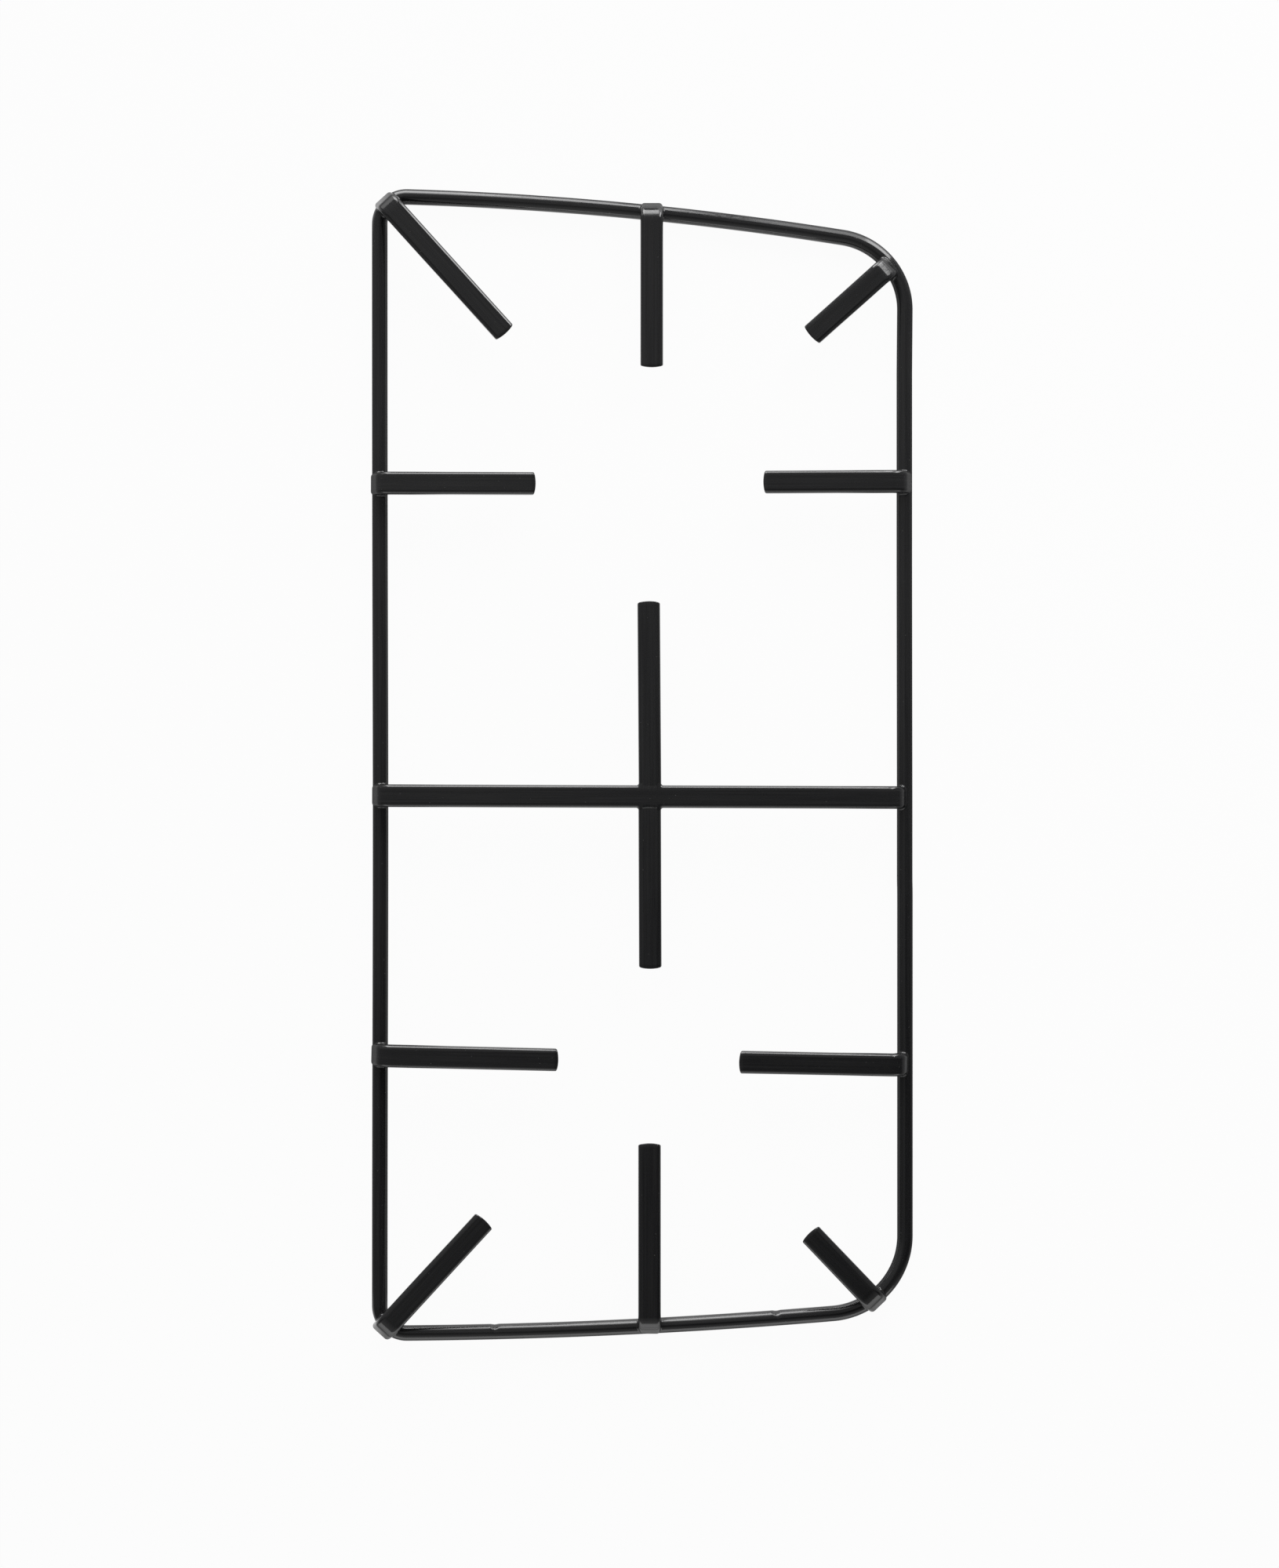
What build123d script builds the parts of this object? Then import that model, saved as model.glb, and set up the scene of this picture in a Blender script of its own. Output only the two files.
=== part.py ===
# Pan support of a gas hob: a ring of round wire with flat-bar fingers welded on, enamelled all over.
# Millimetres. +X is to the right, +Y to the rear, +Z up; the ring lies on Z = 0.
from build123d import *
import os
from math import cos, radians, tan
from typing import NamedTuple

# Wire ring, all sizes over the enamel
wire_diameter = 6.4
ring_width = 220.7
rear_left_y = 232.1
front_left_y = -231.9
rear_right_set_back = 21.1
front_right_set_back = 10.7
rear_bow = 4.1
front_bow = 2.5
left_corner_radius = 11.0
rear_right_corner_radius = 30.0
front_right_corner_radius = 32.0

# Flat bar of the fingers
bar_width = 9.2
bar_thickness = 6.0
bar_edge_chamfer = 0.7
bend_outer_radius = 4.2
bend_inner_radius = 0.8
leg_lean = 20.0
tip_bulge = 0.65
tip_edge_chamfer = 0.3
pan_height = 14.4
leg_set_down = 2.6
leg_set_out = 0.6

# Cross bar between the burners
cross_bar_left_y = -12.5
cross_bar_right_y = -13.3
cross_bar_left_inset = 0.5
cross_bar_right_inset = 2.4

# Burners under the support, a little to the rear of midway between the cross bar and the ends of the ring
burner_rear_shift = 4.05
rear_burner_x = 2.9
front_burner_x = 2.6

# Clear gap between opposite finger tips over each burner
rear_gap_across = 92.2
rear_gap_along = 94.7
front_gap_across = 73.3
front_gap_along = 70.6

# Tips of the corner fingers, from the sharp corner of the wire line
rear_left_reach = 77.1
rear_right_reach = 53.8
front_left_reach = 64.1
front_right_reach = 50.4


class Finger(NamedTuple):
    """One finger: its tip round a burner or a corner, the way it runs out, and how far in its leg stands."""

    datum: Vector
    tip_reach: float
    tip_bearing: float
    heading: float
    leg_inset: float = 0.0


wire_radius = wire_diameter / 2
wire_line_x = ring_width / 2 - wire_radius
rear_left = Vector(-wire_line_x, rear_left_y)
rear_right = Vector(wire_line_x, rear_left_y - rear_right_set_back)
front_left = Vector(-wire_line_x, front_left_y)
front_right = Vector(wire_line_x, front_left_y + front_right_set_back)
rear_burner = Vector(rear_burner_x, (rear_left_y + cross_bar_left_y) / 2 + burner_rear_shift)
front_burner = Vector(front_burner_x, (front_left_y + cross_bar_left_y) / 2 + burner_rear_shift)

ring_fingers = {
    "rear_end_finger": Finger(rear_burner, rear_gap_along / 2, 88.9, 90.0, -0.4),
    "rear_left_side_finger": Finger(rear_burner, rear_gap_across / 2, 179.5, 179.8),
    "rear_right_side_finger": Finger(rear_burner, rear_gap_across / 2, 1.2, 0.3, 0.7),
    "rear_left_corner_finger": Finger(rear_left, rear_left_reach, 312.2, 132.1),
    "rear_right_corner_finger": Finger(rear_right, rear_right_reach, 223.5, 41.8, 2.1),
    "front_end_finger": Finger(front_burner, front_gap_along / 2, 270.5, 270.0, 0.4),
    "front_left_side_finger": Finger(front_burner, front_gap_across / 2, 182.6, 178.7, 0.2),
    "front_right_side_finger": Finger(front_burner, front_gap_across / 2, 356.0, 358.9, 1.6),
    "front_left_corner_finger": Finger(front_left, front_left_reach, 47.4, 227.4, -1.2),
    "front_right_corner_finger": Finger(front_right, front_right_reach, 141.6, 313.6, -0.5),
}
middle_fingers = {
    "rear_middle_finger": Finger(rear_burner, rear_gap_along / 2, 269.6, 270.4),
    "front_middle_finger": Finger(front_burner, front_gap_along / 2, 89.0, 90.2),
}

# Worked out from the sizes above
up = Vector(0, 0, 1)
bar_level = pan_height - bar_thickness / 2
bar_underside = pan_height - bar_thickness
leg_foot = wire_diameter - leg_set_down
leg_slope = tan(radians(leg_lean))
leg_breadth = bar_thickness / cos(radians(leg_lean))
tip_radius = (bar_width / 2) ** 2 / (2 * tip_bulge) + tip_bulge / 2

os.makedirs("parts", exist_ok=True)


def direction(angle):
    """Level unit vector at an angle from +X."""
    return Vector(1, 0, 0).rotate(Axis.Z, angle)


def finish(builder, name):
    """Label a finished piece and write it to its own file."""
    builder.part.label = name
    export_step(builder.part, f"parts/{name}.step")


# Wire line: straight sides, bowed ends, tight corners on the left and wide ones on the right
with BuildSketch(Plane.XY.offset(wire_radius)) as ring_plan:
    with BuildLine():
        Line(front_left, rear_left)
        SagittaArc(rear_left, rear_right, rear_bow)
        Line(rear_right, front_right)
        SagittaArc(front_right, front_left, front_bow)
    make_face()
    fillet(ring_plan.vertices().group_by(Axis.X)[-1].sort_by(Axis.Y)[-1], rear_right_corner_radius)
    fillet(ring_plan.vertices().group_by(Axis.X)[-1].sort_by(Axis.Y)[0], front_right_corner_radius)
    fillet(ring_plan.vertices().group_by(Axis.X)[0], left_corner_radius)
wire_line = ring_plan.sketch.face().outer_wire()

with BuildPart() as wire_ring:
    with BuildSketch(Plane(origin=wire_line @ 0, z_dir=wire_line % 0)):
        Circle(wire_radius)
    sweep(path=wire_line)
finish(wire_ring, "wire_ring")


def finger_tip(finger):
    """Point of the tip, at the height of the wire line."""
    return finger.datum + direction(finger.tip_bearing) * finger.tip_reach + up * wire_radius


def wire_crossing(start, outward):
    """Point where a level line from start crosses the wire line."""
    ray = Line(start, start + outward * wire_line.length)
    return [point for side in wire_line.edges() for point in side.find_intersection_points(ray)][0]


def leg_profile(foot, sense):
    """Outer and inner side of a leg in profile, each from its foot up; it leans along the sense, 1 or -1."""
    outer_foot = foot - sense * (bar_thickness / 2 + leg_set_out)
    outer_knee = outer_foot + sense * leg_slope * (pan_height - leg_foot)
    inner_foot = outer_foot + sense * leg_breadth
    inner_knee = inner_foot + sense * leg_slope * (bar_underside - leg_foot)
    outer_side = [(outer_foot, leg_foot), (outer_knee, pan_height)]
    inner_side = [(inner_foot, leg_foot), (inner_knee, bar_underside)]
    return outer_side, inner_side


def bent_bar(start, inward, top, underside):
    """Flat bar bent to a profile, the points of its top and underside, with its long edges broken."""
    across = inward.cross(up)
    with BuildPart() as bar:
        with BuildSketch(Plane(origin=(start.X, start.Y, 0), x_dir=inward, z_dir=across)) as profile:
            with BuildLine():
                Polyline(*top, *reversed(underside), close=True)
            make_face()
            for knees, radius in ((top[1:-1], bend_outer_radius), (underside[1:-1], bend_inner_radius)):
                for knee in knees:
                    fillet(profile.vertices().sort_by_distance(knee)[0], radius)
        extrude(amount=bar_width / 2, both=True)
        flanks = bar.faces().sort_by(Axis(origin=start, direction=across))
        rims = flanks[0].edges() + flanks[-1].edges()
        long_edges = rims.filter_by(lambda edge: edge.center().Z > leg_foot + bar_edge_chamfer)
        chamfer(long_edges, bar_edge_chamfer)
    return bar.part


def crop_tip(bar, tip, inward):
    """Crop a bar at its tip to a shallow arc, and take the sharp edge off."""
    plan = Plane(origin=(tip.X, tip.Y, 0), x_dir=inward, z_dir=up)
    with BuildPart() as cropped:
        add(bar)
        with BuildSketch(plan):
            Rectangle(2 * bar_width, 2 * bar_width)
            with Locations((-tip_radius, 0)):
                Circle(tip_radius, mode=Mode.SUBTRACT)
        extrude(amount=2 * pan_height, mode=Mode.SUBTRACT)
        end = cropped.faces().sort_by(Axis(origin=tip, direction=inward))[-1]
        chamfer(end.edges(), tip_edge_chamfer)
    return cropped.part


# Fingers on the ring: each leg bends down and straddles the wire, each tip stops short of the burner
for name, finger in ring_fingers.items():
    tip = finger_tip(finger)
    inward = direction(finger.heading + 180)
    leg = wire_crossing(tip, inward * -1) + inward * finger.leg_inset
    reach = (tip - leg).dot(inward) + bar_width / 2
    outer, inner = leg_profile(0, 1)
    bar = bent_bar(leg, inward, [*outer, (reach, pan_height)], [*inner, (reach, bar_underside)])
    with BuildPart() as ring_finger:
        add(crop_tip(bar, tip, inward))
        add(wire_ring.part, mode=Mode.SUBTRACT)
    finish(ring_finger, name)

# Cross bar: a leg at each end, standing on the two straight sides
left_leg = Vector(-wire_line_x + cross_bar_left_inset, cross_bar_left_y, 0)
right_leg = Vector(wire_line_x - cross_bar_right_inset, cross_bar_right_y, 0)
span = right_leg - left_leg
left_outer, left_inner = leg_profile(0, 1)
right_outer, right_inner = leg_profile(span.length, -1)
cross_top = [*left_outer, *reversed(right_outer)]
cross_underside = [*left_inner, *reversed(right_inner)]
with BuildPart() as cross_bar:
    add(bent_bar(left_leg, span.normalized(), cross_top, cross_underside))
    add(wire_ring.part, mode=Mode.SUBTRACT)
finish(cross_bar, "cross_bar")

# Middle fingers: straight bars butted against the two sides of the cross bar
with BuildSketch() as bar_section:
    Rectangle(bar_thickness, bar_width)
    chamfer(bar_section.vertices(), bar_edge_chamfer)
cross_bar_front = span.normalized().cross(up)
for name, finger in middle_fingers.items():
    tip = finger_tip(finger)
    inward = direction(finger.heading + 180)
    side = cross_bar_front if inward.dot(cross_bar_front) > 0 else cross_bar_front * -1
    to_side = side * (bar_width / 2) + up * wire_radius
    ray = Line(tip, tip - inward * wire_line.length)
    root = Line(left_leg + to_side, right_leg + to_side).find_intersection_points(ray)[0]
    seat = Vector(root.X, root.Y, bar_level)
    with BuildPart() as straight_bar:
        with BuildSketch(Plane(origin=seat - inward * bar_width, x_dir=up, z_dir=inward)):
            add(bar_section.sketch)
        extrude(amount=bar_width + (tip - root).length + tip_bulge)
        split(bisect_by=Plane(origin=seat, z_dir=side))
    with BuildPart() as middle_finger:
        add(crop_tip(straight_bar.part, tip, inward))
    finish(middle_finger, name)
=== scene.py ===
# %% [markdown]
# # A pan support for a gas hob
# The real support is a weldment: a ring of round rod, and flat bars welded to it whose tops carry the pans.
# After welding it is dipped in black glass enamel and fired, so one glossy coat runs over rod, bar and weld.
# The CAD model gives every bar and the ring as a separate solid with plainly broken edges.
# Here each one is made again in the same place with the soft edges of a fired coat, which a bevel on a
# ready-made box would not give round the bends, and the welds are filled where bar meets rod.

# %% Load the frame
import math

import bmesh
import bpy
import numpy as np
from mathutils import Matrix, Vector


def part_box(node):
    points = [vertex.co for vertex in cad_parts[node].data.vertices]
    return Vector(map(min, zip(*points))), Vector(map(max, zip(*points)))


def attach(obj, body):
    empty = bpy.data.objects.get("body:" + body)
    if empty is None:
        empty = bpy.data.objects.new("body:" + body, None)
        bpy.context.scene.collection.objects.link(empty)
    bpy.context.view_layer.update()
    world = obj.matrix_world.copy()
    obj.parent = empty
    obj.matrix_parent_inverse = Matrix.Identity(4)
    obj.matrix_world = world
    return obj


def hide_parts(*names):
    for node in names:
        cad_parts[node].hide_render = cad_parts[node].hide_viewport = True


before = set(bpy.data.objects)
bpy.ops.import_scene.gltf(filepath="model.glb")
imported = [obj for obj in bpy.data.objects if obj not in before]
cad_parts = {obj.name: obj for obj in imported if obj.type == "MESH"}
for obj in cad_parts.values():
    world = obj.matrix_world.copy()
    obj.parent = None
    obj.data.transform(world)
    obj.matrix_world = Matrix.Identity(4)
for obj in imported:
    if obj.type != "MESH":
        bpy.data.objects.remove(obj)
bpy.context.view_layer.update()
MM = 0.001
print("CAD nodes:", ", ".join(sorted(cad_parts)))

# %% [markdown]
# ## Black glass enamel
# Vitreous enamel is powdered glass melted onto steel. It is nearly black, and its gloss comes from the glass
# surface alone, so a dielectric shader with the index of glass is right, with no metal in it.
# A picture could show its marks, but noise needs no unwrapping. A few helpers keep the node work short: each
# adds a node to whatever node tree is called tree at the time, joins what goes into it and gives back what
# comes out.

# %% Start the material and its helpers
GLASS_INDEX = 1.52


def add_node(tree, kind, sockets=None, **settings):
    """Add a shader node, setting its input sockets by name and its other settings."""
    node = tree.nodes.new(kind)
    for key, value in settings.items():
        setattr(node, key, value)
    for key, value in (sockets or {}).items():
        node.inputs[key].default_value = value
    return node


enamel = bpy.data.materials.new("black_enamel")
enamel.use_nodes = True
tree = enamel.node_tree
glass = tree.nodes["Principled BSDF"]
glass.inputs["IOR"].default_value = GLASS_INDEX
place = add_node(tree, "ShaderNodeTexCoord").outputs["Object"]


def noise(length, detail, where=place):
    """Noise with features of about this length in millimetres."""
    node = add_node(tree, "ShaderNodeTexNoise", {"Scale": 1 / (length * MM), "Detail": detail})
    tree.links.new(where, node.inputs["Vector"])
    return node.outputs["Fac"]


def remap(source, low, high, to_low, to_high):
    """Stretch a range of values onto another range."""
    limits = {"From Min": low, "From Max": high, "To Min": to_low, "To Max": to_high}
    node = add_node(tree, "ShaderNodeMapRange", limits)
    tree.links.new(source, node.inputs["Value"])
    return node.outputs["Result"]


def bump(height, depth, below=None):
    """Raise the surface by a height map of this depth in millimetres, on top of another bump."""
    node = add_node(tree, "ShaderNodeBump", {"Distance": depth * MM})
    tree.links.new(height, node.inputs["Height"])
    if below:
        tree.links.new(below, node.inputs["Normal"])
    return node.outputs["Normal"]


print("Index of the glass:", GLASS_INDEX)

# %% [markdown]
# ## Waves, streaks and dust
# A dipped coat is never quite level: it has long shallow waves from draining and a finer orange peel, and
# here and there a pinhole or a grain of dust was fired in. Faint streaks show where rolling and drawing
# marked the steel below. The waves use the object's own space, so they run over the welds without a seam.
# The streaks use each bar's own length and section, which its mesh carries with it.

# %% Colour and relief of the coat
COAT_DARK = (0.0105, 0.0105, 0.0112, 1)
COAT_LIGHT = (0.0190, 0.0190, 0.0197, 1)
DUST = (0.060, 0.060, 0.060, 1)
ROUGHNESS = (0.08, 0.16)
WAVE_LENGTH = 9.0
WAVE_DEPTH = 0.03
PEEL_LENGTH = 1.6
PEEL_DEPTH = 0.006
STREAK_LENGTH = 45.0
STREAK_WIDTH = 0.9
STREAK_DEPTH = 0.004
SPECK_SPACING = 3.8
SPECK_RIM = (0.03, 0.07)
SPECK_HEIGHT = 0.02
NOISE_RANGE = (0.30, 0.70)

bar_space = add_node(tree, "ShaderNodeAttribute", attribute_name="grain")
drawn_out = add_node(tree, "ShaderNodeMapping", {"Scale": (STREAK_WIDTH / STREAK_LENGTH, 1, 1)})
tree.links.new(bar_space.outputs["Vector"], drawn_out.inputs["Vector"])
streak = noise(STREAK_WIDTH, detail=3, where=drawn_out.outputs["Vector"])
specks = add_node(tree, "ShaderNodeTexVoronoi", {"Scale": 1 / (SPECK_SPACING * MM)})
tree.links.new(place, specks.inputs["Vector"])
speck = remap(specks.outputs["Distance"], *SPECK_RIM, 1.0, 0.0)
tone = add_node(tree, "ShaderNodeMix", data_type="RGBA")
tone.inputs["A"].default_value = COAT_DARK
tone.inputs["B"].default_value = COAT_LIGHT
tree.links.new(remap(streak, *NOISE_RANGE, 0.0, 1.0), tone.inputs["Factor"])
dusty = add_node(tree, "ShaderNodeMix", data_type="RGBA")
dusty.inputs["B"].default_value = DUST
tree.links.new(tone.outputs["Result"], dusty.inputs["A"])
tree.links.new(speck, dusty.inputs["Factor"])
tree.links.new(dusty.outputs["Result"], glass.inputs["Base Color"])
dullness = remap(noise(PEEL_LENGTH, detail=3), *NOISE_RANGE, *ROUGHNESS)
tree.links.new(dullness, glass.inputs["Roughness"])
waves = bump(noise(WAVE_LENGTH, detail=1), WAVE_DEPTH)
lines = bump(streak, STREAK_DEPTH, below=waves)
peel = bump(noise(PEEL_LENGTH, detail=2), PEEL_DEPTH, below=lines)
tree.links.new(bump(speck, SPECK_HEIGHT, below=peel), glass.inputs["Normal"])
print("Enamel nodes:", len(tree.nodes))

# %% [markdown]
# ## Making a piece
# Every bar and the ring is a surface carried along a line: a row of section outlines joined by quads.
# Writing the vertices directly keeps each section exactly square to its line, which a curve object with a
# bevel cannot promise at a tight bend, and it leaves room to press in small marks afterwards. Shading runs
# smoothly over everything but real creases, which are found by their angle.

# %% Helper that turns rings of points into a piece
CREASE = math.radians(60)
MERGE_DISTANCE = 1e-4


def strip_faces(rings, points, closed):
    """Quads between neighbouring rings of points, joined round each ring if it is closed."""
    pairs = [(p, (p + 1) % points) for p in range(points if closed else points - 1)]
    starts = range(0, (rings - 1) * points, points)
    return [(s + a, s + b, s + points + b, s + points + a) for s in starts for a, b in pairs]


def add_piece(name, vertices, faces, *nodes, grain=None):
    """Make an enamelled piece from points in millimetres; it stands for the CAD nodes named after it."""
    mesh = bpy.data.meshes.new(name)
    mesh.from_pydata((np.asarray(vertices) * MM).tolist(), [], faces)
    if grain is not None:
        carried = mesh.attributes.new("grain", "FLOAT_VECTOR", "POINT")
        carried.data.foreach_set("vector", (grain * MM).ravel())
    work = bmesh.new()
    work.from_mesh(mesh)
    bmesh.ops.remove_doubles(work, verts=work.verts, dist=MERGE_DISTANCE * MM)
    unused = [vertex for vertex in work.verts if not vertex.link_faces]
    bmesh.ops.delete(work, geom=unused, context="VERTS")
    bmesh.ops.recalc_face_normals(work, faces=work.faces)
    work.to_mesh(mesh)
    work.free()
    mesh.shade_smooth()
    mesh.set_sharp_from_angle(angle=CREASE)
    mesh.materials.append(enamel)
    piece = bpy.data.objects.new(name, mesh)
    bpy.context.scene.collection.objects.link(piece)
    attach(piece, "root")
    if nodes:
        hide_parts(*nodes)
    return piece


print("Faces from one ring of four points to the next:", len(strip_faces(2, 4, True)))

# %% [markdown]
# ## Line of the rod
# The rod lies flat: two straight sides, and two ends that bow outwards a little and slope, because the right
# side is shorter than the left. The bends on the left are tight and those on the right are wide.
# A hand-drawn spline would only come near this, so the line is worked out as a draughtsman does it, with each
# bend as an arc that touches the side and the bowed end.

# %% Find the circles of the ends and bends
REAR_LEFT_Y = 232.1
REAR_RIGHT_Y = 211.0
FRONT_LEFT_Y = -231.9
FRONT_RIGHT_Y = -221.2
REAR_BOW = 4.1
FRONT_BOW = 2.5
LEFT_BEND = 11.0
REAR_RIGHT_BEND = 30.0
FRONT_RIGHT_BEND = 32.0
ring_low, ring_high = (np.array(corner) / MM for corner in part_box("wire_ring"))
rod_radius = (ring_high[2] - ring_low[2]) / 2
side_x = ring_high[0] - rod_radius


def bow_circle(left_y, right_y, bow, sign):
    """Centre and radius of the bowed end whose chord joins the two corners; sign is +1 at the rear."""
    chord = np.array([2 * side_x, right_y - left_y])
    half = np.linalg.norm(chord) / 2
    radius = (half**2 + bow**2) / (2 * bow)
    outward = sign * np.array([-chord[1], chord[0]]) / (2 * half)
    return np.array([0, (left_y + right_y) / 2]) - outward * (radius - bow), radius


def bend_centre(circle, side, bend, sign):
    """Centre of the bend that touches one side and the bowed end."""
    centre, radius = circle
    x = side * (side_x - bend)
    return np.array([x, centre[1] + sign * math.sqrt((radius - bend) ** 2 - (x - centre[0]) ** 2)])


rear_circle = bow_circle(REAR_LEFT_Y, REAR_RIGHT_Y, REAR_BOW, 1)
front_circle = bow_circle(FRONT_LEFT_Y, FRONT_RIGHT_Y, FRONT_BOW, -1)
bends = [
    (bend_centre(rear_circle, -1, LEFT_BEND, 1), rear_circle, LEFT_BEND),
    (bend_centre(rear_circle, 1, REAR_RIGHT_BEND, 1), rear_circle, REAR_RIGHT_BEND),
    (bend_centre(front_circle, 1, FRONT_RIGHT_BEND, -1), front_circle, FRONT_RIGHT_BEND),
    (bend_centre(front_circle, -1, LEFT_BEND, -1), front_circle, LEFT_BEND),
]
print("Radius of the rear and front ends in mm:", round(rear_circle[1]), round(front_circle[1]))

# %% [markdown]
# ## Points along the line
# Sides and arcs are divided into points, clockwise all the way round. A curve object could hold the same
# line, but the welds are fitted later by their distance from it, and that is easily measured from a row of
# points.

# %% Divide the rod's centre line
on_side = [np.array([math.copysign(side_x, centre[0]), centre[1]]) for centre, _, _ in bends]
on_end = [end[0] + (centre - end[0]) * end[1] / (end[1] - bend) for centre, end, bend in bends]


def straight(start, end, step):
    """Points on a straight run from start up to, but not including, end."""
    count = math.ceil(np.linalg.norm(end - start) / step)
    return start + np.linspace(0, 1, count, endpoint=False)[:, None] * (end - start)


def clockwise_arc(centre, start, end, step):
    """Points on an arc that runs clockwise from start up to, but not including, end."""
    radius = np.linalg.norm(start - centre)
    first = math.atan2(*(start - centre)[::-1])
    sweep = (first - math.atan2(*(end - centre)[::-1])) % math.tau
    angles = first - np.linspace(0, sweep, math.ceil(radius * sweep / step), endpoint=False)
    return centre + radius * np.column_stack([np.cos(angles), np.sin(angles)])


def rod_line(step):
    """Points of the rod's centre line in plan, clockwise from the front of the left side, this far apart."""
    return np.vstack([
        straight(on_side[3], on_side[0], step),
        clockwise_arc(bends[0][0], on_side[0], on_end[0], step),
        clockwise_arc(rear_circle[0], on_end[0], on_end[1], step),
        clockwise_arc(bends[1][0], on_end[1], on_side[1], step),
        straight(on_side[1], on_side[2], step),
        clockwise_arc(bends[2][0], on_side[2], on_end[2], step),
        clockwise_arc(front_circle[0], on_end[2], on_end[3], step),
        clockwise_arc(bends[3][0], on_end[3], on_side[3], step),
    ])


print("Points on the rod's line, 1 mm apart:", len(rod_line(1.0)))

# %% [markdown]
# ## Not quite straight
# Rod from a coil is never dead straight. The left side bows in by a third of a millimetre near the cross bar,
# and on the right the two ends of the rod were butt welded a little out of line. Behind that weld the right
# side also drifts in slowly. Without this the long sides would look drawn with a ruler, so the points are
# moved by these amounts, always inwards so that the part grows no larger. A noise would not be the same rod.

# %% Let the sides wander
LEFT_BOW = 0.33
LEFT_BOW_Y = -27.0
LEFT_BOW_LENGTH = 110.0
BUTT_WELD_Y = -49.3
BUTT_WELD_SHIFT = 0.10
BUTT_WELD_LENGTH = 5.0
RIGHT_DRIFT = 0.14
DRIFT_START_Y = -20.0
DRIFT_LENGTH = 100.0
REAR_FADE_Y = 190.0
FADE_LENGTH = 30.0
SIDE_ZONE = 1.0
FINE_STEP = 0.05


def wander(points):
    """Move points of the rod's line inwards where its sides are not straight."""
    x, y = points.T
    left = LEFT_BOW * np.exp(-(((y - LEFT_BOW_Y) / LEFT_BOW_LENGTH) ** 2)) * (x < SIDE_ZONE - side_x)
    behind_weld = 0.5 + 0.5 * np.tanh((y - BUTT_WELD_Y) / (BUTT_WELD_LENGTH / 2))
    drift = np.clip((y - DRIFT_START_Y) / DRIFT_LENGTH, 0, 1)
    fade = np.clip((REAR_FADE_Y - y) / FADE_LENGTH, 0, 1) * (x > side_x - SIDE_ZONE)
    right = (BUTT_WELD_SHIFT * behind_weld + RIGHT_DRIFT * drift) * fade
    return np.column_stack([x + left - right, y])


fine_line = wander(rod_line(FINE_STEP))
steps = np.linalg.norm(fine_line - np.roll(fine_line, 1, axis=0), axis=1)
print("Rod length in mm:", round(steps.sum(), 1))

# %% [markdown]
# ## Rod ring with its marks
# The rod is a tube of circles along that line. Two small notches on the inner side of the front rod are where
# hooks held the support in the furnace, so no glass covers them fully. They are pressed into the tube's
# points, because a boolean cut would leave hard edges that no melted glass has.

# %% Make the ring
ROD_STEP = 0.65
ROD_FACETS = 36
HOOK_MARK_X = (-60.2, 54.9)
HOOK_MARK_HALF_WIDTH = 1.6
HOOK_MARK_DEPTH = 0.7
HOOK_MARK_ANGLE = math.radians(155)
HOOK_MARK_FOCUS = 4
FRONT_SHARE = 0.9

line = wander(rod_line(ROD_STEP))
tangent = np.roll(line, -1, axis=0) - np.roll(line, 1, axis=0)
tangent /= np.linalg.norm(tangent, axis=1)[:, None]
outward = np.column_stack([-tangent[:, 1], tangent[:, 0]])

angles = np.linspace(0, math.tau, ROD_FACETS, endpoint=False)
radius = np.full((len(line), ROD_FACETS), rod_radius)
facing_in = np.clip(np.cos(angles - HOOK_MARK_ANGLE), 0, None) ** HOOK_MARK_FOCUS
on_front = line[:, 1] < ring_low[1] * FRONT_SHARE
for mark_x in HOOK_MARK_X:
    notch = np.clip(1 - np.abs(line[:, 0] - mark_x) / HOOK_MARK_HALF_WIDTH, 0, None) * on_front
    radius -= HOOK_MARK_DEPTH * notch[:, None] * facing_in

tube = np.empty((len(line), ROD_FACETS, 3))
tube[:, :, :2] = line[:, None, :] + outward[:, None, :] * (radius * np.cos(angles))[:, :, None]
tube[:, :, 2] = rod_radius + radius * np.sin(angles)
along_rod = np.empty_like(tube)
along_rod[:, :, 0] = np.arange(len(line))[:, None] * ROD_STEP
along_rod[:, :, 1] = rod_radius * np.cos(angles)
along_rod[:, :, 2] = rod_radius * np.sin(angles)
tube, along_rod = (np.vstack([rings, rings[:1]]).reshape(-1, 3) for rings in (tube, along_rod))
faces = strip_faces(len(line) + 1, ROD_FACETS, True)
ring = add_piece("rod_ring", tube, faces, "wire_ring", grain=along_rod)
print("Rod ring faces:", len(ring.data.polygons))

# %% [markdown]
# ## Where each bar lies
# Each bar's place is read from its CAD node instead of being written down again. The flat top of a bar has
# two corners behind its bend and an arc of points at its tip, and the middle of each end lies on the bar's
# line. The leg leans outwards, so its foot stands a known distance outside the start of the flat top.

# %% Read the bars from the frame
BAR_WIDTH = 9.2
LEG_FOOT = 3.8
LEG_LEAN = math.radians(20.0)
LEG_SET_OUT = 0.6
CAD_BEND_RADIUS = 4.2
TOP_TOLERANCE = 0.01
END_ZONE = 1.0
middle_low, middle_high = (np.array(corner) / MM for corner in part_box("rear_middle_finger"))
pan_height = middle_high[2]
bar_underside = middle_low[2]
bar_thickness = pan_height - bar_underside
bend_share = math.tan((math.pi / 2 - LEG_LEAN) / 2)
outer_foot = -bar_thickness / 2 - LEG_SET_OUT
inner_foot = outer_foot + bar_thickness / math.cos(LEG_LEAN)
knee = outer_foot + math.tan(LEG_LEAN) * (pan_height - LEG_FOOT)
flat_start = knee + CAD_BEND_RADIUS * bend_share


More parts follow.
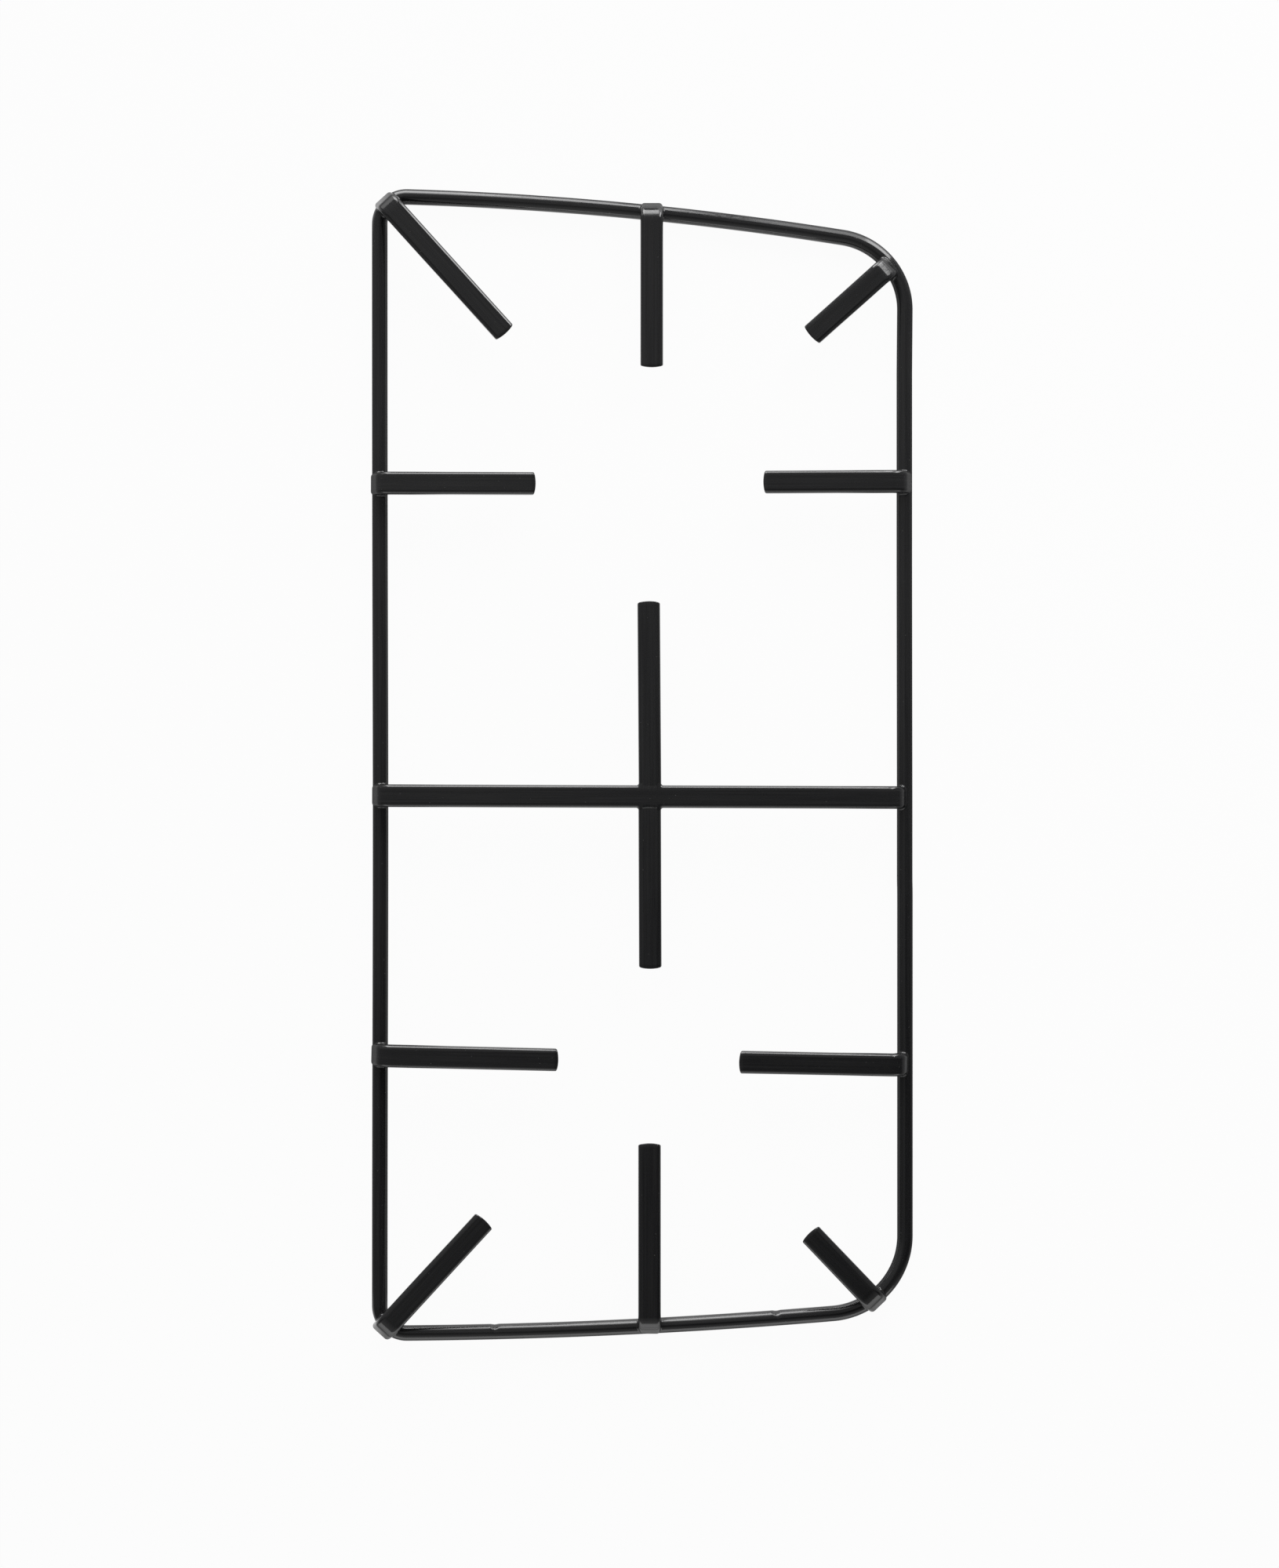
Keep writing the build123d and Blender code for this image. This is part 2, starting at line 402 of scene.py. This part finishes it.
def bar_line(name):
    """Start of a bar at its leg or root, its direction, and the run from there to its other end, in plan."""
    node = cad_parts[name]
    points = np.array([node.matrix_world @ vertex.co for vertex in node.data.vertices]) / MM
    top = points[points[:, 2] > pan_height - TOP_TOLERANCE][:, :2]
    along = (top - top.mean(axis=0)) @ np.linalg.svd(top - top.mean(axis=0))[2][0]
    near, far = along < along.min() + END_ZONE, along > along.max() - END_ZONE
    ends = [top[near].mean(axis=0), top[far].mean(axis=0)]
    low = points[points[:, 2] < points[:, 2].min() + END_ZONE][:, :2].mean(axis=0)
    left = np.array([-side_x, 0])
    carrier = {"middle": np.zeros(2), "cross": left}.get(name.split("_")[-2], low)
    ends.sort(key=lambda end: np.linalg.norm(end - carrier))
    direction = (ends[1] - ends[0]) / np.linalg.norm(ends[1] - ends[0])
    run = (points[:, :2] - ends[0]) @ direction
    if "middle" in name:
        return ends[0] + direction * run.min(), direction, run.max() - run.min()
    if name == "cross_bar":
        flat_length = np.linalg.norm(ends[1] - ends[0])
        return ends[0] - direction * flat_start, direction, flat_length + 2 * flat_start
    return ends[0] - direction * flat_start, direction, run.max() + flat_start


bars = {name: bar_line(name) for name in sorted(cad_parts) if name != "wire_ring"}
for name, (_, direction, reach) in bars.items():
    print(f"{name}: {reach:.1f} mm long, heading {math.degrees(math.atan2(*direction[::-1])):.1f} degrees")

# %% [markdown]
# ## Section of the flat bar
# The bars are rolled flat with rounded edges, and the coat makes the rounding softer still. The section is
# drawn point by point. Its points crowd towards the edges of each flat, so that smooth shading keeps the
# flats flat and turns only at the roundings, with no need for a weighted-normal modifier.

# %% Draw the section
EDGE_RADIUS = 1.7
EDGE_POINTS = 9
FLAT_STEPS = 8


def crowded(start, stop, count):
    """Values from start to stop that crowd towards both ends."""
    return start + (stop - start) * (1 - np.cos(np.linspace(0, math.pi, count + 1))) / 2


def section(inset=0.0):
    """Outline of the bar, as points (towards the underside, across) and their outward normals."""
    middle = np.array([bar_thickness / 2 - EDGE_RADIUS, BAR_WIDTH / 2 - EDGE_RADIUS])
    points, normals = [], []
    for quarter in range(4):
        turn = np.radians(np.linspace(90 * quarter, 90 * quarter + 90, EDGE_POINTS))
        facing = np.column_stack([np.cos(turn), np.sin(turn)])
        corner = middle * np.sign(facing[EDGE_POINTS // 2])
        arc = corner + (EDGE_RADIUS - inset) * facing
        away = facing[-1]
        across = np.array([-away[1], away[0]])
        flat = 2 * abs(middle @ across)
        steps = crowded(0, flat, FLAT_STEPS)[1:-1]
        points += [arc, arc[-1] + steps[:, None] * across]
        normals += [facing, np.tile(away, (len(steps), 1))]
    return np.vstack(points), np.vstack(normals)


outline, outline_normals = section()
print("Points round a bar:", len(outline))

# %% [markdown]
# ## Bent run
# At its outer end each bar is bent down into a leg, round a tool with an almost sharp nose. The bar keeps its
# thickness, so the outside of the bend has the radius of the inside and a whole thickness more, a little
# softer than the CAD model has it. The gloss shows that radius plainly: the light runs over the heel in a
# narrow band. A bar follows two lines, one along its top and one along its underside, and each section spans
# from one to the other, so that the foot can be cut level while the leg leans.

# %% Lines up the leg and round the bend
BEND_INNER_RADIUS = 0.8
BEND_STEPS = 24
HOLD = 0.15
bend_outer_radius = BEND_INNER_RADIUS + bar_thickness
level_start = knee + bend_outer_radius * bend_share


def level_station(run, drop=0.0):
    """Top point, underside point and upward normal of a level stretch of bar."""
    return np.array([run, pan_height - drop]), np.array([run, bar_underside]), np.array([0.0, 1.0])


def bend_up():
    """Stations from the foot of a leg, up and round its bend to the start of the level stretch."""
    centre = np.array([level_start, pan_height - bend_outer_radius])
    stations = []
    for slope in np.linspace(math.pi / 2 - LEG_LEAN, 0, BEND_STEPS):
        normal = np.array([-math.sin(slope), math.cos(slope)])
        stations.append((centre + bend_outer_radius * normal, centre + BEND_INNER_RADIUS * normal, normal))
    top, under, normal = stations[0]
    down = np.array([-math.sin(LEG_LEAN), -math.cos(LEG_LEAN)]) * HOLD
    outwards = np.array([-1 / math.cos(LEG_LEAN), 0])
    foot = (np.array([outer_foot, LEG_FOOT]), np.array([inner_foot, LEG_FOOT]), outwards)
    return [foot, (top + down, under + down, normal), *stations, level_station(level_start + HOLD)]


def place_section(points, station, bulge=0.0, slant=0.0):
    """Points (run, height, across) of a section at a station, bulged in the middle and set back below."""
    top, under, normal = station
    depth = (points[:, 0] + bar_thickness / 2)[:, None]
    share = np.clip((depth - EDGE_RADIUS) / (bar_thickness - 2 * EDGE_RADIUS), 0, 1)
    profile = (1 - share) * (top - depth * normal) + share * (under + (bar_thickness - depth) * normal)
    profile[:, 0] -= bulge * (points[:, 1] / (BAR_WIDTH / 2)) ** 2 + slant * depth[:, 0]
    return np.column_stack([profile, points[:, 1]])


print("Heel to flat top in mm:", round(level_start - outer_foot, 2))

# %% [markdown]
# ## Tips
# The free end of each bar is sheared to a shallow arc. The shear leaves the cut leaning back a little under
# the top, so none of it shows from above, and the coat softens its edge. The last sections shrink towards the
# end by a quarter circle and then close, like rings on a dome.

# %% Round the tips and stand the bars up
TIP_BULGE = 0.65
TIP_EDGE = 0.5
TIP_SLANT = math.tan(math.radians(6.0))
TIP_STEPS = 6
TIP_CLOSING = (0.8, 0.5, 0.2, 0)
TIP_LENGTH = 2


def tip_sections(reach):
    """Sections that round the sheared edge of a tip and close its end."""
    turn = np.radians(np.linspace(0, 90, TIP_STEPS))
    rounding = [(reach - TIP_EDGE * (1 - math.sin(a)), TIP_EDGE * (1 - math.cos(a))) for a in turn]
    rings = [(section(inset)[0], run) for run, inset in rounding]
    rings += [(section(TIP_EDGE)[0] * scale, reach) for scale in TIP_CLOSING]
    return [place_section(points, level_station(run), TIP_BULGE, TIP_SLANT) for points, run in rings]


def stand_bar(name, sections, origin, direction):
    """Make a bar from its sections, standing at origin in plan and running in a direction."""
    points = np.array(sections)
    across = np.array([-direction[1], direction[0]])
    plan = origin + points[:, :, :1] * direction + points[:, :, 2:] * across
    vertices = np.concatenate([plan, points[:, :, 1:2]], axis=2).reshape(-1, 3)
    count = len(outline)
    last = (len(sections) - 1) * count
    faces = strip_faces(len(sections), count, True)
    faces += [tuple(range(count)), tuple(range(last, last + count))]
    steps = np.linalg.norm(np.diff(points.mean(axis=1), axis=0), axis=1)
    along_bar = np.empty_like(points)
    along_bar[:, :, 0] = np.concatenate([[0], np.cumsum(steps)])[:, None] + np.abs(origin).sum()
    along_bar[:, :, 1:] = outline
    return add_piece(f"bar_{name}", vertices, faces, name, grain=along_bar.reshape(-1, 3))


print("Sections at a tip:", len(tip_sections(bars["rear_end_finger"][2])))

# %% [markdown]
# ## Fingers on the ring
# Ten fingers stand on the ring. All are the same bent bar at different lengths, so one loop makes them, where
# copies of one object would have to be stretched.

# %% Make the fingers that stand on the ring
FINGER_STEPS = 8

legs = {}
for name, (start, direction, reach) in bars.items():
    if name == "cross_bar" or "middle" in name:
        continue
    runs = crowded(level_start + HOLD, reach - TIP_LENGTH, FINGER_STEPS)[1:]
    stations = bend_up() + [level_station(run) for run in runs]
    sections = [place_section(outline, station) for station in stations] + tip_sections(reach)
    stand_bar(name, sections, start, direction)
    legs[name] = (start, direction)
print("Fingers on the ring:", len(legs))

# %% [markdown]
# ## Cross bar
# The cross bar has a leg at each end. The far leg is the near one turned round, so the same stations are
# mirrored instead of worked out again.

# %% Make the cross bar
CROSS_STEPS = 12

cross_start, cross_direction, span = bars["cross_bar"]
rise = bend_up()
turned = np.array([-1.0, 1.0])
fall = [
    (top * turned + [span, 0], under * turned + [span, 0], normal * turned)
    for top, under, normal in reversed(rise)
]
runs = crowded(level_start + HOLD, span - level_start - HOLD, CROSS_STEPS)[1:-1]
level = [level_station(run) for run in runs]
sections = [place_section(outline, station) for station in rise + level + fall]
stand_bar("cross_bar", sections, cross_start, cross_direction)
legs["cross_bar_left"] = (cross_start, cross_direction)
legs["cross_bar_right"] = (cross_start + cross_direction * span, -cross_direction)
print("Cross bar span in mm:", round(span, 1))

# %% [markdown]
# ## Middle fingers
# Two straight bars meet the cross bar in the middle. The joint was welded and dressed flush, so each finger
# runs on over the rounding of the cross bar, a hair lower than its flat so that the two tops never share one
# plane. What still shows is the seam: the end of the finger rolls off into a shallow curved groove, and the
# weld rises gently from there. A dark line painted in the material would not catch the light as this does.

# %% Make the middle fingers
FLUSH_DROP = 0.006
SEAM_RUN = -0.25
SEAM_DEPTH = 0.13
SEAM_ROLL = 0.40
SEAM_FILL = 1.20
SEAM_BULGE = -0.5
SEAM_STEPS = 8
MIDDLE_STEPS = 10
STEPS_IN_SEAM = 2


def seam_drop(run):
    """How far the top lies below the pan level, this far from the side of the cross bar."""
    length = SEAM_ROLL if run > SEAM_RUN else SEAM_FILL
    return FLUSH_DROP + SEAM_DEPTH * max(0.0, 1 - abs(run - SEAM_RUN) / length) ** 2


middle_ends = {}
for name in ("rear_middle_finger", "front_middle_finger"):
    start, direction, reach = bars[name]
    fill = crowded(-EDGE_RADIUS, SEAM_RUN, SEAM_STEPS)
    seam = [*fill, *crowded(SEAM_RUN, SEAM_RUN + SEAM_ROLL, SEAM_STEPS)[1:]]
    runs = crowded(seam[-1] + HOLD, reach - TIP_LENGTH, MIDDLE_STEPS)[STEPS_IN_SEAM:]
    sections = [place_section(outline, level_station(run, seam_drop(run)), SEAM_BULGE) for run in seam]
    sections += [place_section(outline, level_station(run, FLUSH_DROP)) for run in runs]
    stand_bar(name, sections + tip_sections(reach), start, direction)
    middle_ends[name] = (start, direction)
print("Middle fingers:", ", ".join(middle_ends))

# %% [markdown]
# ## Weld fillets on the rod
# Where a leg straddles the rod, weld metal and glass fill the corner. The filled shape is what a small ball
# leaves as it rolls round the leg and stays in touch with both: its centre keeps one distance from the leg's
# outline and one from the rod's line. The leg leans, so how high the ball touches it is found in a few tries.
# That gives a strip which meets both surfaces without an edge, and its hidden side is closed along a line
# inside the joint. Voxel remeshing would also melt the joint, but it would blur the bars' crisp flats.

# %% Roll the ball round a leg
WELD_RADIUS = 0.8
BALL_TRIES = 6


def roll_ball(origin, direction):
    """Centres of the ball round one leg, the leg's facing, the way to the rod, and where it touches both."""
    across = np.array([-direction[1], direction[0]])
    lean = math.tan(LEG_LEAN)
    foot_run = (outer_foot + inner_foot) / 2 + outline[:, :1] / math.cos(LEG_LEAN)
    side = origin + foot_run * direction + outline[:, 1:] * across
    facing = np.column_stack([
        outline_normals[:, :1] * direction + outline_normals[:, 1:] * across,
        -lean * outline_normals[:, 0],
    ])
    facing /= np.linalg.norm(facing, axis=1)[:, None]
    touch = np.full(len(side), 2 * rod_radius)
    for _ in range(BALL_TRIES):
        ball = side + direction * (lean * (touch - LEG_FOOT))[:, None] + facing[:, :2] * WELD_RADIUS
        gaps = np.linalg.norm(ball[:, None, :] - fine_line[None, :, :], axis=2)
        rise = np.sqrt(np.clip((rod_radius + WELD_RADIUS) ** 2 - gaps.min(axis=1) ** 2, 0, None))
        touch = rod_radius + rise - WELD_RADIUS * facing[:, 2]
    held = rise > LEG_FOOT - rod_radius
    to_rod = np.column_stack([fine_line[gaps.argmin(axis=1)] - ball, -rise])
    to_rod /= np.linalg.norm(to_rod, axis=1)[:, None]
    return np.column_stack([ball, rod_radius + rise]), facing, to_rod, held


touching = roll_ball(*legs["rear_end_finger"])[3]
print("Places where the ball touches leg and rod:", touching.sum(), "of", len(touching))

# %% Fill the corners it leaves
WELD_STEPS = 7
WELD_ROOT = 1.35


def weld_fillet(name, origin, direction):
    """Fill the corner between one leaning leg and the rod."""
    centre, facing, to_rod, held = roll_ball(origin, direction)
    rings = []
    for share in np.linspace(0, 1, WELD_STEPS):
        toward = share * to_rod - (1 - share) * facing
        rings.append(centre + WELD_RADIUS * toward / np.linalg.norm(toward, axis=1)[:, None])
    middle = to_rod - facing
    middle /= np.linalg.norm(middle, axis=1)[:, None]
    opening = (middle * to_rod).sum(axis=1)[:, None]
    rings += [centre + WELD_ROOT * WELD_RADIUS / opening * middle, rings[0]]
    count = len(outline)
    strip = strip_faces(len(rings), count, True)
    faces = [face for face in strip if all(held[index % count] for index in face)]
    ends = [i for i in range(count) if held[i] and held[i - 1] != held[(i + 1) % count]]
    faces += [tuple(range(i, i + (WELD_STEPS + 1) * count, count)) for i in ends]
    return add_piece(name, np.vstack(rings), faces)


for name, (origin, direction) in legs.items():
    weld_fillet(f"weld_{name}", origin, direction)
print("Weld fillets:", len(legs))

# %% [markdown]
# ## Filled corners in the middle
# The four inner corners where the middle fingers meet the cross bar are filled in plan. The rounded edge of
# the bars simply runs on round the corner, so the filling is the bar's edge profile turned about a post that
# stands in the corner.

# %% Turn the edge profile round the four corners
CORNER_RADIUS = 1.0
CORNER_STEPS = 9
PROFILE_POINTS = 8


def corner_filling(name, corner, along_finger, along_cross):
    """Fill one inner corner between a finger and the cross bar, given in plan."""
    post = corner + CORNER_RADIUS * (along_finger + along_cross)
    turn = np.radians(np.linspace(0, 90, PROFILE_POINTS))
    inward = EDGE_RADIUS * (1 - np.cos(turn))
    drop = EDGE_RADIUS * (1 - np.sin(turn))
    depth = np.concatenate([inward[::-1], inward])
    height = np.concatenate([-drop[::-1], drop - bar_thickness])
    rings = []
    for angle in np.linspace(0, math.pi / 2, CORNER_STEPS):
        away = -math.cos(angle) * along_cross - math.sin(angle) * along_finger
        plan = post + (CORNER_RADIUS + depth)[:, None] * away
        rings.append(np.column_stack([plan, pan_height - FLUSH_DROP / 2 + height]))
    inner = corner - EDGE_RADIUS * (along_finger + along_cross)
    count = len(depth)
    vertices = np.vstack(rings + [[[*inner, rings[0][0][2]], [*inner, rings[0][-1][2]]]])
    top = CORNER_STEPS * count
    faces = strip_faces(CORNER_STEPS, count, False)
    faces += [(top, r * count, (r + 1) * count) for r in range(CORNER_STEPS - 1)]
    faces += [(top + 1, (r + 1) * count - 1, (r + 2) * count - 1) for r in range(CORNER_STEPS - 1)]
    faces += [(top, *range(first, first + count), top + 1) for first in (0, top - count)]
    return add_piece(name, vertices, faces)


for name, (start, direction) in middle_ends.items():
    for label, sign in (("left", -1), ("right", 1)):
        along_cross = sign * cross_direction
        corner = start + along_cross * BAR_WIDTH / 2
        corner_filling(f"filling_{name}_{label}", corner, direction, along_cross)
print("Filled corners:", 2 * len(middle_ends))

# %% [markdown]
# ## Sheet under the support
# The support lies on a sheet of white acrylic. A photographer would curve the sheet up at the back, but the
# part is looked at from all sides here, so a plane is made so large that its edge is never noticed.

# %% Lay the sheet
FLOOR_SIZE = 40.0

bpy.ops.mesh.primitive_plane_add(size=FLOOR_SIZE)
floor = bpy.context.object
floor.name = "floor"
acrylic = bpy.data.materials.new("white_acrylic")
acrylic.use_nodes = True
tree = acrylic.node_tree
tree.nodes.clear()
print("Floor side in m:", FLOOR_SIZE)

# %% [markdown]
# ## What the gloss finds on the floor
# Black gloss shows whatever lies round it, and here what it finds on the floor is painted: a map by place
# sets the tone that mirrored rays find, as a painted reflection. Inside the ring the sheet is white, which
# draws the grey rims of rods and bars. Just past the two ends a greyer band is painted, so that the slanted
# legs stand out.
# Along the two long sides the floor is painted dark in the gloss, where a photographer would lay black card,
# or the rods would melt into the white; the painted dark on the right reaches further round the corners than
# on the left. A strip painted dark behind the rear heel is painted shade, and it draws the dark line across
# that heel.
# There is no card in the scene, because cards made as objects would hide the floor itself. The map's lengths
# are in metres, and each pair is where a soft edge begins and ends.

# %% Measure places on the floor
REAR_ROD_Y = 0.2255
REAR_ROD_SLOPE = 0.0985
FRONT_ROD_Y = 0.2290
FRONT_ROD_SLOPE = 0.0500


def combine(operation, *values):
    """Work one or more values into a new one."""
    node = add_node(tree, "ShaderNodeMath", operation=operation)
    for socket, value in zip(node.inputs, values):
        if isinstance(value, float):
            socket.default_value = value
        else:
            tree.links.new(value, socket)
    return node.outputs[0]


spot = add_node(tree, "ShaderNodeSeparateXYZ")
tree.links.new(add_node(tree, "ShaderNodeTexCoord").outputs["Object"], spot.inputs["Vector"])


def past_ends(skew=0.0):
    """How far a spot on the floor lies past the nearer end rod, or past a line skewed against it."""
    rear = combine("MULTIPLY_ADD", spot.outputs["X"], REAR_ROD_SLOPE + skew, spot.outputs["Y"])
    forward = combine("MULTIPLY", spot.outputs["Y"], -1.0)
    front = combine("MULTIPLY_ADD", spot.outputs["X"], FRONT_ROD_SLOPE + skew, forward)
    past_rear = combine("SUBTRACT", rear, REAR_ROD_Y)
    past_front = combine("SUBTRACT", front, FRONT_ROD_Y)
    return combine("MAXIMUM", past_rear, past_front)


print("End rods lie this far out in m, rear and front:", REAR_ROD_Y, FRONT_ROD_Y)

# %% Map of the floor
# Painted reflection: these are the tones the gloss finds on the floor, white inside, a painted grey band past
# the ends and painted dark at the sides.
SHEET_MIRRORED = 1.0
GREY_PAINTED_REFLECTION = 0.38
PAINTED_DARK_REFLECTION = 0.24
GREY_BAND_START = (-0.004, 0.002)
GREY_BAND_END = (0.013, 0.020)
PAINTED_DARK_INNER_EDGE = (0.080, 0.094)
PAINTED_DARK_END = (-0.012, 0.000)
PAINTED_DARK_SKEW = -0.060
PAINTED_SHADE_STRIP_START = (0.246, 0.250)
PAINTED_SHADE_STRIP_SIDE = (0.006, 0.009)

aside = combine("ABSOLUTE", spot.outputs["X"])
beyond = past_ends()
past_start = remap(beyond, *GREY_BAND_START, 0.0, 1.0)
before_end = remap(beyond, *GREY_BAND_END, 1.0, 0.0)
grey = combine("MINIMUM", past_start, before_end)
painted_sheet_tone = remap(grey, 0.0, 1.0, SHEET_MIRRORED - PAINTED_DARK_REFLECTION, GREY_PAINTED_REFLECTION - PAINTED_DARK_REFLECTION)
# Painted dark reflection along the two long sides, where black card would lie; no card is in the scene.
beside_painted_dark = remap(aside, *PAINTED_DARK_INNER_EDGE, 1.0, 0.0)
off_painted_dark = combine("MAXIMUM", beside_painted_dark, remap(past_ends(PAINTED_DARK_SKEW), *PAINTED_DARK_END, 0.0, 1.0))
# Painted shade: a dark strip in the gloss behind the rear heel, which draws the dark line across that heel.
before_painted_shade = remap(spot.outputs["Y"], *PAINTED_SHADE_STRIP_START, 1.0, 0.0)
off_painted_shade = combine("MAXIMUM", before_painted_shade, remap(aside, *PAINTED_SHADE_STRIP_SIDE, 0.0, 1.0))
clear = combine("MINIMUM", off_painted_dark, off_painted_shade)
painted_reflection_tone = combine("ADD", combine("MULTIPLY", clear, painted_sheet_tone), PAINTED_DARK_REFLECTION)
print("Tones in the gloss, sheet, band and card:", SHEET_MIRRORED, GREY_PAINTED_REFLECTION, PAINTED_DARK_REFLECTION)

# %% [markdown]
# ## White acrylic
# To the camera the sheet is plain white, with a small share of ordinary diffuse light in it so that it keeps
# the shadow. Rays from the gloss find the painted map instead, a painted reflection that glows by place.
# The sheet is also polished, so that at a low angle the gloss finds the light panels mirrored in it and the
# bright lines run on a little below the horizon. The camera is spared that mirror image, because a
# photographer would keep the panels out of the picture.

# %% Floor material
SHADOW_SHARE = 0.04
SHEET_COLOUR = (0.60, 0.60, 0.60, 1)
WHITE = (1, 1, 1, 1)
POLISH_ROUGHNESS = 0.12
POLISH_INDEX = 1.25


def blend_shaders(share, first, second):
    """Mix two shaders by a share of the second."""
    node = add_node(tree, "ShaderNodeMixShader")
    for socket, value in zip(node.inputs, (share, first, second)):
        tree.links.new(value, socket)
    return node.outputs[0]


rays = add_node(tree, "ShaderNodeLightPath").outputs
diffuse = add_node(tree, "ShaderNodeBsdfDiffuse", {"Color": SHEET_COLOUR}).outputs[0]
white = add_node(tree, "ShaderNodeEmission", {"Color": WHITE, "Strength": 1.0}).outputs[0]
polish = add_node(tree, "ShaderNodeBsdfGlossy", {"Color": WHITE, "Roughness": POLISH_ROUGHNESS}).outputs[0]
# Painted reflection: to glossy and transmission rays the floor glows with the map's painted tone, not with
# light it receives.
painted_reflection = add_node(tree, "ShaderNodeEmission", {"Color": WHITE})
tree.links.new(painted_reflection_tone, painted_reflection.inputs["Strength"])
grazing = add_node(tree, "ShaderNodeFresnel", {"IOR": POLISH_INDEX}).outputs[0]
sheet = blend_shaders(combine("MULTIPLY", rays["Is Camera Ray"], 1 - SHADOW_SHARE), diffuse, white)
in_gloss = combine("MAXIMUM", rays["Is Glossy Ray"], rays["Is Transmission Ray"])
sheet = blend_shaders(in_gloss, sheet, painted_reflection.outputs[0])
# The polish is left out over the painted shade strip, and for camera rays.
off_camera = combine("SUBTRACT", off_painted_shade, rays["Is Camera Ray"])
sheet = blend_shaders(combine("MULTIPLY", grazing, off_camera), sheet, polish)
output = add_node(tree, "ShaderNodeOutputMaterial")
tree.links.new(sheet, output.inputs["Surface"])
floor.data.materials.append(acrylic)
print("Floor nodes:", len(tree.nodes))

# %% [markdown]
# ## Light
# Black gloss is lit by what it reflects, so the light is arranged as the lines on the edges should run.
# A tall light behind on the left gives the bright line along every edge that faces the rear. It is made of
# three panels, each dimmer than the one below, so that the lines fade softly towards the flats. A narrow one
# beside it carries the line on along the rear rod, and two nearer ones on the right carry it round the wide
# bend. Dim panels at the rear left and in front add a little grey to the bends of the legs. Panels are used
# instead of a picture of a studio because their clean edges end the lines crisply.

# %% Light panels


def light_panel(name, x_range, y, z_range, radiance):
    """Upright soft panel that faces the support, placed by its edges in metres."""
    data = bpy.data.lights.new(name, "AREA")
    data.shape = "RECTANGLE"
    data.size = x_range[1] - x_range[0]
    data.size_y = z_range[1] - z_range[0]
    data.energy = radiance * math.pi * data.size * data.size_y
    panel = bpy.data.objects.new(name, data)
    panel.location = (sum(x_range) / 2, y, sum(z_range) / 2)
    panel.rotation_euler = (math.copysign(math.pi / 2, -y), 0, 0)
    panel.visible_camera = False
    bpy.context.scene.collection.objects.link(panel)


# Name, left and right edge, distance to the rear, lower and upper edge, radiance
light_panel("rear_panel", (-1.60, 0.03), 3.00, (0.02, 1.40), 8.5)
light_panel("rear_panel_fading", (-1.60, 0.03), 3.00, (1.40, 2.10), 4.0)
light_panel("rear_panel_top", (-1.60, 0.03), 3.00, (2.10, 3.00), 1.0)
light_panel("narrow_rear_panel", (0.05, 0.33), 3.00, (0.02, 1.70), 7.0)
light_panel("right_rear_panel", (0.13, 0.40), 0.85, (0.04, 0.75), 3.5)
light_panel("far_right_rear_panel", (0.40, 0.75), 0.85, (0.04, 0.75), 9.0)
light_panel("left_rear_panel", (-0.95, -0.50), 0.85, (0.00, 0.27), 1.5)
light_panel("front_panel", (-1.00, 1.00), -1.00, (0.00, 0.36), 1.4)
print("Panels:", ", ".join(sorted(light.name for light in bpy.data.lights)))

# %% [markdown]
# ## Room
# The room itself is dim. Its ceiling is a little lighter to the rear and to the left, where the tall light
# stands, which is why the flats there look a touch greyer than those in front and on the right. The wall in
# front glows a little too, and that shows on the front sides of the rods. A flat grey room would be simpler,
# but then every flat would have the same tone.

# %% Dim room
CEILING_FRONT = 0.07
CEILING_REAR = 0.25
CEILING_STEP = (-0.07, 0.06)
CEILING_ASIDE = 0.06
CEILING_SIDES = (-0.06, 0.06)
FRONT_WALL = 0.45
FRONT_WALL_EDGE = (-0.30, -0.85)

room = bpy.data.worlds.new("dim_room")
bpy.context.scene.world = room
room.use_nodes = True
tree = room.node_tree
toward = add_node(tree, "ShaderNodeTexCoord")
axes = add_node(tree, "ShaderNodeSeparateXYZ")
tree.links.new(toward.outputs["Generated"], axes.inputs["Vector"])
to_rear = remap(axes.outputs["Y"], *CEILING_STEP, CEILING_FRONT, CEILING_REAR)
to_left = remap(axes.outputs["X"], *CEILING_SIDES, CEILING_ASIDE, -CEILING_ASIDE)
front_wall = remap(axes.outputs["Y"], *FRONT_WALL_EDGE, 0.0, FRONT_WALL)
glow = combine("ADD", combine("ADD", to_rear, to_left), front_wall)
tree.links.new(glow, tree.nodes["Background"].inputs["Strength"])
tree.nodes["Background"].inputs["Color"].default_value = WHITE
bpy.context.scene.view_settings.view_transform = "Standard"
print("Ceiling light, front and rear:", CEILING_FRONT, CEILING_REAR)

# %% [markdown]
# ## Camera
# The photograph was taken from straight above with a long lens. The lens follows from how much of the rod's
# plane the frame shows and how far away the camera hangs. Moving the camera a few millimetres sideways puts
# the support where it lies in the frame, so the lens needs no shift.

# %% Camera above the support
SENSOR_HEIGHT = 36.0
PHOTO_HEIGHT_PX = 2000
PX_PER_MM = 3.125
CAMERA_DISTANCE = 1750.0
FRAME_CENTRE = (-1.16, -7.78)

camera_data = bpy.data.cameras.new("camera")
camera_data.sensor_fit = "VERTICAL"
camera_data.sensor_height = SENSOR_HEIGHT
camera_data.lens = SENSOR_HEIGHT * CAMERA_DISTANCE * PX_PER_MM / PHOTO_HEIGHT_PX
camera = bpy.data.objects.new("camera", camera_data)
camera.location = (FRAME_CENTRE[0] * MM, FRAME_CENTRE[1] * MM, (CAMERA_DISTANCE + rod_radius) * MM)
bpy.context.scene.collection.objects.link(camera)
bpy.context.scene.camera = camera
print("Lens in mm:", round(camera_data.lens, 1))
